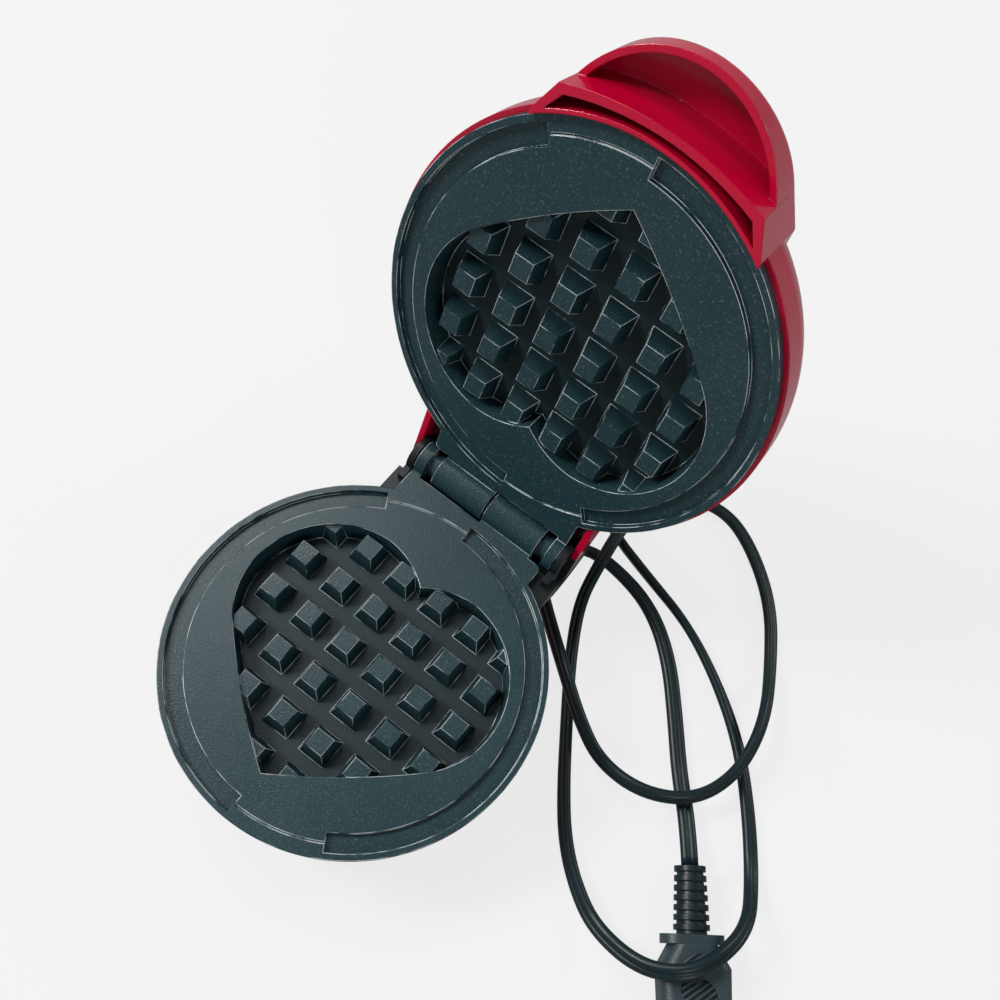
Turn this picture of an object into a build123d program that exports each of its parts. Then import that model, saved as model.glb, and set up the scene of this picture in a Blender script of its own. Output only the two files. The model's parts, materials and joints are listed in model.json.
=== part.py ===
"""Small round waffle maker with heart-shaped plates, standing open on its feet.

The two cooking plates are one casting used twice, face to face across a pinned hinge.
Every half is laid out on its own plane: local X along the hinge, local Y from the plate's
centre towards the hinge, and local Z out of the cooking face, with 0 on the parting face.
"""

import math
import os

from build123d import *

os.makedirs("parts", exist_ok=True)

# Driving dimensions, in millimetres and degrees
parting_h = 36.0  # height of the parting face and of the hinge axis
open_angle = 110.0  # the lid's opening from closed
standing_y = -37.37  # place of the plates' centre that centres the open appliance on the origin
wall_t = 2.2  # moulded housings
fixed_clearance = 0.03
running_clearance = 0.06
rim_clearance = 0.3

plate_r = 59.2  # outside of the plate's lip
lip_t = 3.2  # thickness of the lip and of the hinge flange
lip_w = 1.9  # lip outside the overflow channel
channel_w = 5.7
channel_depth = 1.8
bridge_angle = 30.0  # span of each land-level bridge across the channel
groove_in = 2.7  # fine groove along each bridge, inside the lip
groove_w = 0.6
groove_depth = 0.4
core_t = 4.5  # the thicker middle, which drops into the housing
core_skin = 1.0  # metal left over a blind screw hole

heart_margin = 5.6  # land beside the heart at its widest
heart_wall = 2.4  # metal round the heart pocket
heart_depth = 7.6  # land to the floor between the studs
heart_floor = 2.4
heart_draft = 1.2  # how far the pocket's wall leans in by its floor
stud_pitch = 14.3
stud_foot = 9.6
stud_drop = 1.2  # stud tops below the land
stud_draft = 15.0
stud_columns = 6
stud_rows = 6
stud_row_shift = -4.5  # middle of the stud rows, from the plate's centre

barrel_r = 6.0
hinge_space = 2.5  # between the plate's edge and the barrel
flange_half = 25.8
flange_step = 1.1  # the flange stops short of the barrel
flange_corner_r = 1.6
barrel_gap = 0.7  # between the two barrels
barrel_len = 20.2
lug_in = 24.3
lug_out = 28.0
boss_r = 4.2  # shoulder between a lug and its neighbour's barrel
pin_r = 2.0
pin_chamfer = 0.4

bracket_t = 2.4  # cheeks of the hinge bracket
bracket_gap = 0.4
bracket_margin = 2.0  # shoulder outside a cheek
bracket_set = 6.5  # the bracket's block stops this far before the axis
bracket_front = 39.4  # its front, before it is cut round the bowl
bracket_rise = 9.0  # from the housing's neck, where it stands, to the parting face
cheek_r = 6.3
cheek_foot = 4.0

base_rim_step = 0.4  # the rim lies inside the plate's edge
base_belly_in = 1.2
base_belly_h = 17.0
base_foot_in = 11.8
outer_bow = (0.68, 0.33)  # middle of the bowl's outer curve, as shares of its width and height
inner_bow = (0.57, 0.45)
foot_h = 3.0
cover_t = 2.4
cover_in = 1.5
ledge_w = 7.5
neck_leg_half = 19.0  # the neck narrows to a leg on the table
neck_leg_in = 3.7  # the leg ends before the axis
neck_over = 9.8  # the shoulders reach past it
neck_corner_r = 6.0
trough_gap = 1.2  # room for the lid's neck, which turns into the trough

lid_rim_step = 1.4  # the lid's rim stands round the plate
lid_side = 7.0
lid_shoulder_in = 13.1
lid_crown = 6.5  # rise of the dome's middle over its shoulder
lid_h = 35.0
nose_r = 9.2  # end of the lid's neck, round the hinge axis
nose_rise = 12.4
nose_taper = 0.85
nose_flat = 1.2
neck_root = 30.0
neck_slope = 21.7  # length of the neck's sloping back
neck_slope_h = 25.5
neck_edge = 1.2  # free edge of the lid's neck, behind the parting face

tab_r = 31.2  # handle tab, round in plan
tab_inside = 14.0  # its centre lies inside the lid's rim
tab_under = 6.0  # the tab's rim, behind the parting face
tab_tip_h = 12.5
tab_tip_over = 2.0
tab_mid = 14.0  # middle of the crowned back, past the tab's centre
tab_mid_h = 20.5
tab_root = 30.0
tab_root_h = 32.0
tab_edge_r = 3.0
pocket_depth = 9.0
pocket_rim = 1.8
apron_t = 2.0  # wall between the finger pocket and the plate
apron_over = 2.0  # how far it stands in front of the parting face
apron_narrow = 2.8  # its corners lie inside the tab's widest
apron_widen = 1.8  # its roots lie outside it
apron_bow = 3.7  # its middle stands outside the lid's rim
apron_corner_in = 0.7
apron_root_in = 9.6

element_r = 3.2
element_ring_r = 30.0
element_gap_angle = 56.0
element_swage = 0.1
terminal_len = 6.0
pan_t = 0.6
pan_depth = 13.4
pan_flange_w = 4.8
screw_r = 1.5
screw_head_r = 2.3
screw_head_t = 1.8
screw_sunk = 1.2  # a screw's tip below the face
cover_head_t = 1.2
rib_t = 1.8
rib_h = 8.5
rib_turns = (-150, -120, -60, -28, 0, 180)

rear_foot_x = 12.5
rear_foot_in = 7.0
foot_r = 5.0
foot_taper = 0.8
peg_r = 1.6
cover_screw_in = 3.9
vent_count = 5
vent_pitch = 7.0
vent_len = 26.0
vent_w = 2.4
bracket_screw_x = 22.0
bracket_screw_in = 3.8
screw_seat_t = 3.0

thermostat_r = 8.5
thermostat_h = 7.5
thermostat_base = 0.35  # its wider base, as a share of its height
thermostat_step = 1.2
spade_t = 0.8
spade_w = 4.8
spade_len = 3.0
fuse_r = 2.4
fuse_len = 16.0
fuse_reach = 14.0
fuse_chamfer = 0.5
block_l = 26.0
block_w = 12.0
block_h = 8.0
block_reach = 22.0
lens_r = 4.0
lens_v = -26.0
lens_sunk = 0.6
lens_t = 3.0  # from the dome's inside to the back of the lens
lens_flange = 1.0
lamp_r = 2.6

boot_in = 4.5  # the boot leaves the neck before the shoulders end
boot_len = 24.0
boot_inside = 13.0
boot_big_r = 4.3
boot_small_r = 3.1
boot_x = -10.0
boot_h = 11.0
boot_collar_r = 5.3
boot_collar_t = 1.8
cord_r = 2.3

plug_x = 122.3  # where the cord enters the plug, from the plates' centre
plug_y = 19.9
plug_turn = -55.15
plug_straight = 12.5
plug_relief_len = 21.0
plug_relief_big = 5.8
plug_relief_small = 5.1
plug_relief_groove = 0.9
plug_flange_t = 3.0
plug_flange_half = 10.2
plug_flange_in = 1.6
plug_neck_half = 7.6
plug_neck_in = 1.2
plug_rib_count = 7
plug_rib_share = 0.6
plug_shoulder = 7.0
plug_body_len = 26.0
plug_body_half = 11.6
plug_body_taper = 0.6
plug_corner_r = 4.0
plug_flange_r = 5.0
plug_t = 13.0
thumb_half = (6.4, 4.6)  # oval hollow in the plug's face
thumb_depth = 1.0
thumb_place = 0.55
blade_len = 17.0
blade_w = 6.3
blade_t = 1.5
blade_pitch = 12.7

# Sizes that follow from them
channel_r = plate_r - lip_w
land_r = channel_r - channel_w
groove_r = channel_r - groove_in
heart_half = land_r - heart_margin
hinge_reach = plate_r + hinge_space + barrel_r  # plate centre to hinge axis
flange_reach = hinge_reach - barrel_r - flange_step
bracket_rear = hinge_reach - bracket_set
neck_half = lug_out + 2 * bracket_gap + bracket_t + bracket_margin
bracket_base_h = parting_h - bracket_rise
bracket_h = bracket_rise - lip_t - fixed_clearance
bracket_screw_y = bracket_rear - bracket_screw_in
base_rim_r = plate_r - base_rim_step
base_belly_r = base_rim_r - base_belly_in
base_foot_r = base_rim_r - base_foot_in
core_r = base_rim_r - wall_t - rim_clearance
cover_r = base_foot_r - cover_in
cover_screw_r = cover_r - cover_screw_in
front_foot = (cover_screw_r - foot_r - screw_head_r - rim_clearance) / math.sqrt(2)
neck_leg_reach = hinge_reach - neck_leg_in
neck_rear_reach = hinge_reach + neck_over
neck_slope_reach = hinge_reach - neck_slope
trough_r = nose_rise + trough_gap
rear_foot_y = neck_leg_reach - rear_foot_in
boot_root = neck_rear_reach - boot_in
pan_flange_r = core_r - 2 * rim_clearance
pan_r = pan_flange_r - pan_flange_w
screw_pcd_r = (pan_r + pan_flange_r) / 2
lid_rim_r = plate_r + lid_rim_step
lid_shoulder_r = lid_rim_r - lid_shoulder_in
tab_centre = lid_rim_r - tab_inside
apron_half = tab_r - apron_narrow
apron_root_half = tab_r + apron_widen
apron_reach = lid_rim_r + apron_bow
apron_corner = lid_rim_r - apron_corner_in
apron_root = lid_rim_r - apron_root_in

# The two working planes
base_face = Plane(origin=(0, standing_y, parting_h), x_dir=(1, 0, 0), z_dir=(0, 0, 1))
hinge_y = standing_y + hinge_reach
lean = math.radians(open_angle)
lid_out = (0, math.cos(math.pi - lean), math.sin(lean))
lid_normal = Vector(0, -math.sin(lean), -math.cos(lean))
lid_centre = (0, hinge_y + hinge_reach * lid_out[1], parting_h + hinge_reach * lid_out[2])
lid_face = Plane(origin=lid_centre, x_dir=(-1, 0, 0), z_dir=lid_normal)
hinge_axis = Axis((0, hinge_y, parting_h), (1, 0, 0))


def below(face: Plane, depth: float) -> Plane:
    """Plane parallel to a half's cooking face, that far behind it."""
    return face.offset(-depth)


def section(face: Plane) -> Plane:
    """Plane through a half's centre line: local X radial, local Y out of the face."""
    return Plane(origin=face.origin, x_dir=face.x_dir, z_dir=-face.y_dir)


def profile(face: Plane) -> Plane:
    """Plane across the hinge: local X towards the hinge, local Y out of the face."""
    return Plane(origin=face.origin, x_dir=face.y_dir, z_dir=face.x_dir)


def heart(grow: float = 0.0) -> Sketch:
    """Heart with its cleft towards the hinge, drawn to a half width of 1 and scaled up."""
    with BuildSketch() as outline:
        with BuildLine():
            ThreePointArc((0, 0.665), (0.174, 0.765), (0.38, 0.804))
            ThreePointArc((0.38, 0.804), (0.837, 0.576), (1, 0.141))
            ThreePointArc((1, 0.141), (0.948, -0.109), (0.815, -0.304))
            ThreePointArc((0.815, -0.304), (0.426, -0.646), (0, -0.946))
            mirror(about=Plane.YZ)
        make_face()
        scale(by=heart_half + grow)
    return outline.sketch


def bridges(radius: float) -> Sketch:
    """The two sectors, opposite each other, where the channel is bridged."""
    reach = 2 * radius
    turn = math.radians(bridge_angle)
    with BuildSketch() as sectors:
        with PolarLocations(0, 2, start_angle=-90):
            Polygon((0, 0), (reach, 0), (reach * math.cos(turn), reach * math.sin(turn)), align=None)
    return sectors.sketch


def cooking_plate(face: Plane, bore_r: float) -> Part:
    """One plate casting with its heart pocket, studs, channel, hinge barrel and lug."""
    with BuildPart() as pocket:
        with BuildSketch(face):
            add(heart())
        with BuildSketch(below(face, heart_depth)):
            add(heart(-heart_draft))
        loft(ruled=True)
        with BuildSketch(below(face, heart_depth)):
            with Locations((0, stud_row_shift)):
                with GridLocations(stud_pitch, stud_pitch, stud_columns, stud_rows):
                    Rectangle(stud_foot, stud_foot)
        extrude(amount=heart_depth - stud_drop, taper=stud_draft, mode=Mode.SUBTRACT)

    with BuildPart() as casting:
        with BuildSketch(below(face, lip_t)):
            Circle(plate_r)
            with Locations((0, flange_reach / 2)):
                RectangleRounded(2 * flange_half, flange_reach, flange_corner_r)
            barrel_mid = (barrel_gap + barrel_len) / 2
            with Locations((barrel_mid, hinge_reach - barrel_r)):
                Rectangle(barrel_len - barrel_gap / 2, 2 * barrel_r)
            with Locations((-(lug_in + lug_out) / 2, hinge_reach - barrel_r)):
                Rectangle(lug_out - lug_in, 2 * barrel_r)
            with Locations((-lug_in, flange_reach - barrel_r)):
                Rectangle(2 * (lug_out - lug_in), 2 * barrel_r)
        extrude(amount=lip_t)
        with BuildSketch(below(face, core_t)):
            Circle(core_r)
        extrude(amount=core_t)
        with BuildSketch(below(face, heart_depth + heart_floor)):
            add(heart(heart_wall))
        extrude(amount=heart_depth + heart_floor)
        across = profile(face)
        for start, stop, radius in (
            (barrel_gap / 2, barrel_len + barrel_gap / 2, barrel_r),
            (-lug_out, -lug_in, barrel_r),
            (-lug_in, -(barrel_len + barrel_gap), boss_r),
        ):
            with BuildSketch(across.offset(start)):
                with Locations((hinge_reach, 0)):
                    Circle(radius)
            extrude(amount=stop - start)
        with BuildSketch(across.offset(-lug_out)):
            with Locations((hinge_reach, 0)):
                Circle(bore_r)
        extrude(amount=2 * lug_out, mode=Mode.SUBTRACT)
        with BuildSketch(below(face, channel_depth)):
            Circle(channel_r)
            Circle(land_r, mode=Mode.SUBTRACT)
            add(bridges(channel_r + lip_t), mode=Mode.SUBTRACT)
        extrude(amount=channel_depth, mode=Mode.SUBTRACT)
        with BuildSketch(below(face, groove_depth)):
            Circle(groove_r + groove_w / 2)
            Circle(groove_r - groove_w / 2, mode=Mode.SUBTRACT)
            add(bridges(channel_r), mode=Mode.INTERSECT)
        extrude(amount=groove_depth, mode=Mode.SUBTRACT)
        add(pocket.part, mode=Mode.SUBTRACT)
        with BuildSketch(below(face, core_t)):
            with PolarLocations(screw_pcd_r, 3, start_angle=-90):
                Circle(screw_r + fixed_clearance)
        extrude(amount=core_t - channel_depth - groove_depth, mode=Mode.SUBTRACT)
        with BuildSketch(below(face, lip_t)):
            with Locations((-bracket_screw_x, bracket_screw_y), (bracket_screw_x, bracket_screw_y)):
                Circle(screw_r + fixed_clearance)
        extrude(amount=lip_t - core_skin, mode=Mode.SUBTRACT)
    return casting.part


def heat_pan(face: Plane) -> Part:
    """Reflector pan behind a plate, flanged against the plate's core."""
    with BuildPart() as pan:
        floor = core_t + pan_depth
        with BuildSketch(section(face)):
            with BuildLine():
                Polyline(
                    (0, -floor),
                    (pan_r, -floor),
                    (pan_r, -core_t - pan_t),
                    (pan_flange_r, -core_t - pan_t),
                    (pan_flange_r, -core_t),
                    (pan_r - pan_t, -core_t),
                    (pan_r - pan_t, pan_t - floor),
                    (0, pan_t - floor),
                    close=True,
                )
            make_face()
        revolve(axis=Axis(face.origin, face.z_dir))
        with BuildSketch(below(face, floor)):
            with PolarLocations(screw_pcd_r, 3, start_angle=-90):
                Circle(screw_r + fixed_clearance)
            for side in (-1, 1):
                turn = math.radians(90 + side * element_gap_angle / 2)
                with Locations((element_ring_r * math.cos(turn), element_ring_r * math.sin(turn))):
                    Circle(element_r + rim_clearance)
        extrude(amount=floor, mode=Mode.SUBTRACT)
    return pan.part


def element(face: Plane) -> Part:
    """Tubular heating element bent to an open ring, with a terminal at each end."""
    depth = heart_depth + heart_floor + element_r + fixed_clearance
    with BuildPart() as tube:
        with BuildSketch(section(face)):
            with Locations((element_ring_r, -depth)):
                Circle(element_r)
        revolve(axis=Axis(face.origin, face.z_dir), revolution_arc=360 - element_gap_angle)
    turned = tube.part.rotate(Axis(face.origin, face.z_dir), 90 + element_gap_angle / 2)
    with BuildPart() as heater:
        add(turned)
        leg = pan_depth + core_t + terminal_len - depth
        with BuildSketch(below(face, depth)):
            for side in (-1, 1):
                turn = math.radians(90 + side * element_gap_angle / 2)
                with Locations((element_ring_r * math.cos(turn), element_ring_r * math.sin(turn))):
                    Circle(element_r - element_swage)
        extrude(amount=-leg)
    return heater.part


def pan_screws(face: Plane) -> Part:
    """Three screws through a pan's flange into the plate's core."""
    with BuildPart() as screws:
        with BuildSketch(below(face, core_t + pan_t)):
            with PolarLocations(screw_pcd_r, 3, start_angle=-90):
                Circle(screw_r)
        extrude(amount=core_t + pan_t - channel_depth - 2 * groove_depth)
        with BuildSketch(below(face, core_t + pan_t)):
            with PolarLocations(screw_pcd_r, 3, start_angle=-90):
                Circle(screw_head_r)
        extrude(amount=-screw_head_t)
    return screws.part


def ribs(face: Plane, wall_r: float) -> Part:
    """Short ribs on a housing's wall that carry the pan's flange and the plate on it."""
    top = core_t + pan_t
    with BuildPart() as row:
        with BuildSketch(below(face, top)):
            for turn in rib_turns:
                with PolarLocations(0, 1, start_angle=turn):
                    with Locations(((screw_pcd_r + wall_r) / 2, 0)):
                        Rectangle(wall_r - screw_pcd_r, rib_t)
        extrude(amount=-rib_h)
    return row.part


def keep(part: Part, name: str) -> Part:
    """Label a finished piece and write it as its own STEP file."""
    part.label = name
    export_step(part, f"parts/{name}.step")
    return part


keep(cooking_plate(base_face, pin_r + fixed_clearance), "lower_plate")
keep(cooking_plate(lid_face, pin_r + running_clearance), "upper_plate")
for half_name, half_face in (("lower", base_face), ("upper", lid_face)):
    keep(heat_pan(half_face), f"{half_name}_reflector")
    keep(element(half_face), f"{half_name}_element")
    keep(pan_screws(half_face), f"{half_name}_pan_screws")

# Base housing: a bowl with a neck under the hinge that narrows to a rear leg
table = parting_h - foot_h
boot_plane = Plane(origin=(boot_x, standing_y + boot_root, boot_h), x_dir=(-1, 0, 0), z_dir=(0, 1, 0))
foot_spots = [(side * front_foot, -front_foot) for side in (-1, 1)]
foot_spots += [(side * rear_foot_x, rear_foot_y) for side in (-1, 1)]
with BuildPart() as base_housing:
    with BuildSketch(section(base_face)):
        with BuildLine():
            Polyline((base_belly_r, base_belly_h - parting_h), (base_rim_r, -lip_t), (0, -lip_t), (0, -table))
            Line((0, -table), (base_foot_r, -table))
            bow_r = base_foot_r + outer_bow[0] * (base_belly_r - base_foot_r)
            bow_h = base_belly_h + (outer_bow[1] - 1) * (base_belly_h - foot_h)
            ThreePointArc(
                (base_foot_r, -table), (bow_r, bow_h - parting_h), (base_belly_r, base_belly_h - parting_h)
            )
        make_face()
    revolve(axis=Axis(base_face.origin, base_face.z_dir))
    with BuildSketch(below(base_face, table)):
        with Locations((0, neck_leg_reach / 2)):
            RectangleRounded(2 * neck_leg_half, neck_leg_reach, neck_corner_r)
    with BuildSketch(below(base_face, bracket_rise)):
        with Locations((0, neck_rear_reach / 2)):
            RectangleRounded(2 * neck_half, neck_rear_reach, neck_corner_r)
    loft(ruled=True)

with BuildPart() as base_inside:
    neck_start = base_foot_r + 1
    leg_depth = neck_leg_reach - wall_t - neck_start
    shoulder_depth = neck_rear_reach - wall_t - neck_start
    with BuildSketch(below(base_face, table - wall_t)):
        with Locations((0, neck_start + leg_depth / 2)):
            Rectangle(2 * (neck_leg_half - wall_t), leg_depth)
    with BuildSketch(below(base_face, bracket_rise + wall_t)):
        with Locations((0, neck_start + shoulder_depth / 2)):
            Rectangle(2 * (neck_half - wall_t), shoulder_depth)
    loft(ruled=True)
    with BuildSketch(profile(base_face).offset(-plate_r)):
        with Locations((hinge_reach, 0)):
            Circle(trough_r + wall_t)
    extrude(amount=2 * plate_r, mode=Mode.SUBTRACT)
    ledge_top = table - cover_t - wall_t
    with BuildSketch(section(base_face)):
        with BuildLine():
            inner_belly = (base_belly_r - wall_t, base_belly_h - parting_h)
            inner_foot = (base_foot_r + cover_t, -ledge_top)
            inner_mid = tuple(a + share * (b - a) for a, b, share in zip(inner_foot, inner_belly, inner_bow))
            Polyline(inner_belly, (base_rim_r - wall_t, -lip_t), (base_rim_r - wall_t, 0), (0, 0))
            Polyline((0, 0), (0, -ledge_top), inner_foot)
            ThreePointArc(inner_foot, inner_mid, inner_belly)
        make_face()
    revolve(axis=Axis(base_face.origin, base_face.z_dir))
    with BuildSketch(below(base_face, ledge_top + wall_t)):
        Circle(cover_r - ledge_w)
    extrude(amount=wall_t)

with BuildPart() as base_cuts:
    with BuildSketch(profile(base_face).offset(-neck_half - 1)):
        with Locations((hinge_reach, 0)):
            Circle(trough_r)
        with Locations((plate_r / 2, 0)):
            Rectangle(plate_r, 4 * trough_r, mode=Mode.SUBTRACT)
    extrude(amount=2 * (neck_half + 1))
    with BuildSketch(below(base_face, table)):
        Circle(cover_r + rim_clearance)
    extrude(amount=cover_t)
    with BuildSketch(below(base_face, table)):
        with PolarLocations(cover_screw_r, 4, start_angle=45):
            Circle(screw_r + fixed_clearance)
        with Locations(*foot_spots[2:]):
            Circle(peg_r + fixed_clearance)
    extrude(amount=cover_t + wall_t)
    screw_seat = bracket_base_h - screw_seat_t
    with BuildSketch(below(base_face, parting_h - screw_seat)):
        with Locations((-bracket_screw_x, bracket_screw_y), (bracket_screw_x, bracket_screw_y)):
            Circle(screw_r + fixed_clearance)
    extrude(amount=screw_seat_t)
    with BuildSketch(below(base_face, parting_h - screw_seat)):
        with Locations((-bracket_screw_x, bracket_screw_y), (bracket_screw_x, bracket_screw_y)):
            Circle(screw_head_r + rim_clearance)
    extrude(amount=-4 * screw_head_t)
    with BuildSketch(boot_plane.offset(-boot_inside)):
        Circle(boot_big_r + fixed_clearance)
    extrude(amount=boot_inside)
with BuildPart() as base_shell:
    add(base_housing.part)
    add(base_inside.part, mode=Mode.SUBTRACT)
    add(ribs(base_face, base_belly_r - wall_t / 3))
    add(base_cuts.part, mode=Mode.SUBTRACT)
keep(base_shell.part, "base_housing")

# Bottom cover with its four screws, and the four rubber feet
with BuildPart() as bottom_cover:
    with BuildSketch(below(base_face, table)):
        Circle(cover_r)
    extrude(amount=cover_t)
    with BuildSketch(below(base_face, table)):
        with PolarLocations(cover_screw_r, 4, start_angle=45):
            Circle(screw_r + fixed_clearance)
        with Locations(*foot_spots[:2]):
            Circle(peg_r + fixed_clearance)
        with GridLocations(0, vent_pitch, 1, vent_count):
            SlotOverall(vent_len, vent_w)
    extrude(amount=cover_t, mode=Mode.SUBTRACT)
keep(bottom_cover.part, "bottom_cover")

with BuildPart() as cover_screws:
    with BuildSketch(below(base_face, table)):
        with PolarLocations(cover_screw_r, 4, start_angle=45):
            Circle(screw_r)
    extrude(amount=cover_t + wall_t)
    with BuildSketch(below(base_face, table)):
        with PolarLocations(cover_screw_r, 4, start_angle=45):
            Circle(screw_head_r)
    extrude(amount=-cover_head_t)
keep(cover_screws.part, "cover_screws")

for foot_name, spot in zip(("front_left", "front_right", "rear_left", "rear_right"), foot_spots):
    with BuildPart() as foot:
        with BuildSketch(below(base_face, parting_h)):
            with Locations(spot):
                Circle(foot_r - foot_taper)
        with BuildSketch(below(base_face, table)):
            with Locations(spot):
                Circle(foot_r)
        loft()
        with BuildSketch(below(base_face, table)):
            with Locations(spot):
                Circle(peg_r)
        extrude(amount=wall_t)
    keep(foot.part, f"foot_{foot_name}")

# Hinge bracket: a block on the neck's shoulders with a cheek at each end for the pin
with BuildPart() as bracket:
    with BuildSketch(below(base_face, bracket_rise)):
        with Locations((0, (bracket_rear + bracket_front) / 2)):
            Rectangle(2 * neck_half, bracket_rear - bracket_front)
        Circle(base_rim_r + rim_clearance, mode=Mode.SUBTRACT)
    extrude(amount=bracket_h)
    cheek_in = lug_out + bracket_gap
    for side in (-1, 1):
        with BuildSketch(profile(base_face).offset(side * (cheek_in + bracket_t / 2) - bracket_t / 2)):
            with Locations((hinge_reach, 0)):
                Circle(cheek_r)
            with Locations(((bracket_rear + hinge_reach - cheek_foot) / 2, -cheek_r / 2)):
                Rectangle(hinge_reach - bracket_rear + cheek_foot, cheek_r)
            with Locations((hinge_reach, 0)):
                Circle(pin_r + fixed_clearance, mode=Mode.SUBTRACT)
        extrude(amount=bracket_t)
    with BuildSketch(below(base_face, lip_t)):
        with Locations((-bracket_screw_x, bracket_screw_y), (bracket_screw_x, bracket_screw_y)):
            Circle(screw_r + fixed_clearance)
    extrude(amount=-2 * bracket_h, mode=Mode.SUBTRACT)
keep(bracket.part, "hinge_bracket")

with BuildPart() as hinge_pin:
    with BuildSketch(profile(base_face).offset(-cheek_in - bracket_t)):
        with Locations((hinge_reach, 0)):
            Circle(pin_r)
    extrude(amount=2 * (cheek_in + bracket_t))
    chamfer(hinge_pin.edges(), length=pin_chamfer)
keep(hinge_pin.part, "hinge_pin")

# Lid housing: dome, neck with its nose round the hinge, and the handle
front = Plane(origin=lid_face.origin, x_dir=-lid_face.x_dir, z_dir=lid_face.z_dir)
crown_r = (lid_shoulder_r**2 + lid_crown**2) / (2 * lid_crown)
crown_turn = math.degrees(math.asin(lid_shoulder_r / crown_r))


def dome(top: float, inset: float) -> Part:
    """The lid's crowned bowl up to a level behind its face, drawn in by an inset."""
    rim = lid_rim_r - inset
    with BuildPart() as bowl:
        with BuildSketch(section(lid_face)):
            with BuildLine():
                crown = CenterArc((0, crown_r - lid_h), crown_r - inset, -90, crown_turn)
                TangentArc(crown @ 1, (rim, -lip_t - lid_side), tangent=crown % 1)
                Polyline((rim, -lip_t - lid_side), (rim, -top), (0, -top), (0, inset - lid_h))
            make_face()
        revolve(axis=Axis(lid_face.origin, lid_face.z_dir))
    return bowl.part


def neck(inset: float) -> Part:
    """The lid's neck over the hinge, drawn in by an inset."""
    half = neck_half - inset
    nose = nose_r - inset
    with BuildPart() as arm:
        with BuildSketch(profile(lid_face).offset(-half)):
            Polygon(
                (neck_root, -neck_edge),
                (hinge_reach + nose, -neck_edge),
                (hinge_reach + nose * nose_taper, -nose_rise / 2),
                (hinge_reach - nose_flat, inset - nose_rise),
                (neck_slope_reach, inset - neck_slope_h),
                (neck_root, inset - neck_slope_h),
                align=None,
            )
        extrude(amount=2 * half)
    return arm.part


def apron(inset: float) -> Sketch:
    """Outline of the apron round the handle's root, drawn in by an inset."""
    root_half = apron_root_half - inset
    half = apron_half - inset
    corner = apron_corner - inset
    with BuildSketch() as outline:
        with BuildLine():
            Polyline((half, corner), (root_half, apron_root), (root_half, 0))
            Line((root_half, 0), (-root_half, 0))
            Polyline((-root_half, 0), (-root_half, apron_root), (-half, corner))
            ThreePointArc((-half, corner), (0, apron_reach - inset), (half, corner))
        make_face()
    return outline.sketch


def grip(under: float, inset: float) -> Part:
    """The handle's tab with its crowned back, drawn in by an inset."""
    with BuildPart() as tab:
        with BuildSketch(below(front, under)):
            with Locations((0, tab_centre)):
                Circle(tab_r - inset)
            with Locations((0, (tab_root + apron_root) / 2)):
                Rectangle(2 * (apron_root_half - inset), apron_root - tab_root)
            make_hull()
        extrude(amount=under - lid_h)
        with BuildSketch(profile(front).offset(-2 * tab_r)):
            with BuildLine():
                tip = tab_centre + tab_r + tab_tip_over
                back = ThreePointArc(
                    (tab_root, inset - tab_root_h),
                    (tab_centre + tab_mid, inset - tab_mid_h),
                    (tip, inset - tab_tip_h),
                )
                Polyline(back @ 1, (tip, -2 * lid_h), (0, -2 * lid_h))
                Polyline((0, -2 * lid_h), (0, inset - tab_root_h), back @ 0)
            make_face()
        extrude(amount=4 * tab_r, mode=Mode.SUBTRACT)
    return tab.part


pocket_floor = tab_under + pocket_depth
with BuildPart() as handle:
    add(grip(tab_under, 0))
    crowned = handle.faces().filter_by(GeomType.CYLINDER).sort_by(SortBy.AREA)
    crown_edges = [edge for edge in crowned[-1].edges() if edge.center().Z > lid_centre[2]]
    fillet(crown_edges, radius=tab_edge_r)

with BuildPart() as lid_outer:
    add(dome(lip_t, 0))
    add(neck(0))
    with BuildSketch(below(lid_face, lip_t)):
        Circle(plate_r + rim_clearance)
    extrude(amount=lip_t, mode=Mode.SUBTRACT)
    add(handle.part)
    with BuildSketch(below(front, pocket_floor)):
        add(apron(0))
        Circle(lid_rim_r - wall_t / 2, mode=Mode.SUBTRACT)
    extrude(amount=pocket_floor + apron_over)

with BuildPart() as lid_shell:
    add(lid_outer.part)
    with BuildSketch(below(front, pocket_floor)):
        add(apron(apron_t))
        Circle(lid_rim_r, mode=Mode.SUBTRACT)
    extrude(amount=pocket_floor + apron_over, mode=Mode.SUBTRACT)
    add(dome(lip_t - 1, wall_t), mode=Mode.SUBTRACT)
    add(neck(wall_t), mode=Mode.SUBTRACT)
    add(grip(pocket_floor + wall_t, wall_t), mode=Mode.SUBTRACT)
    with BuildSketch(below(front, pocket_floor)):
        with Locations((0, tab_centre)):
            Circle(tab_r - pocket_rim)
        add(apron(0), mode=Mode.SUBTRACT)
    extrude(amount=pocket_depth, mode=Mode.SUBTRACT)
    add(ribs(lid_face, lid_rim_r - wall_t / 2))
    with BuildSketch(below(lid_face, lid_h)):
        with Locations((0, lens_v)):
            Circle(lens_r + fixed_clearance)
    extrude(amount=3 * wall_t, mode=Mode.SUBTRACT)
keep(lid_shell.part, "lid_housing")

# Indicator: a lens pressed into the dome from inside, with its lamp behind it
lens_seat = lid_h - wall_t - lens_t
with BuildPart() as lens:
    with BuildSketch(below(lid_face, lid_h - lens_sunk)):
        with Locations((0, lens_v)):
            Circle(lens_r)
    extrude(amount=lid_h - lens_sunk - lens_seat)
    with BuildSketch(below(lid_face, lens_seat)):
        with Locations((0, lens_v)):
            Circle(lens_r + lens_flange)
    extrude(amount=lens_flange)
keep(lens.part, "indicator_lens")

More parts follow.
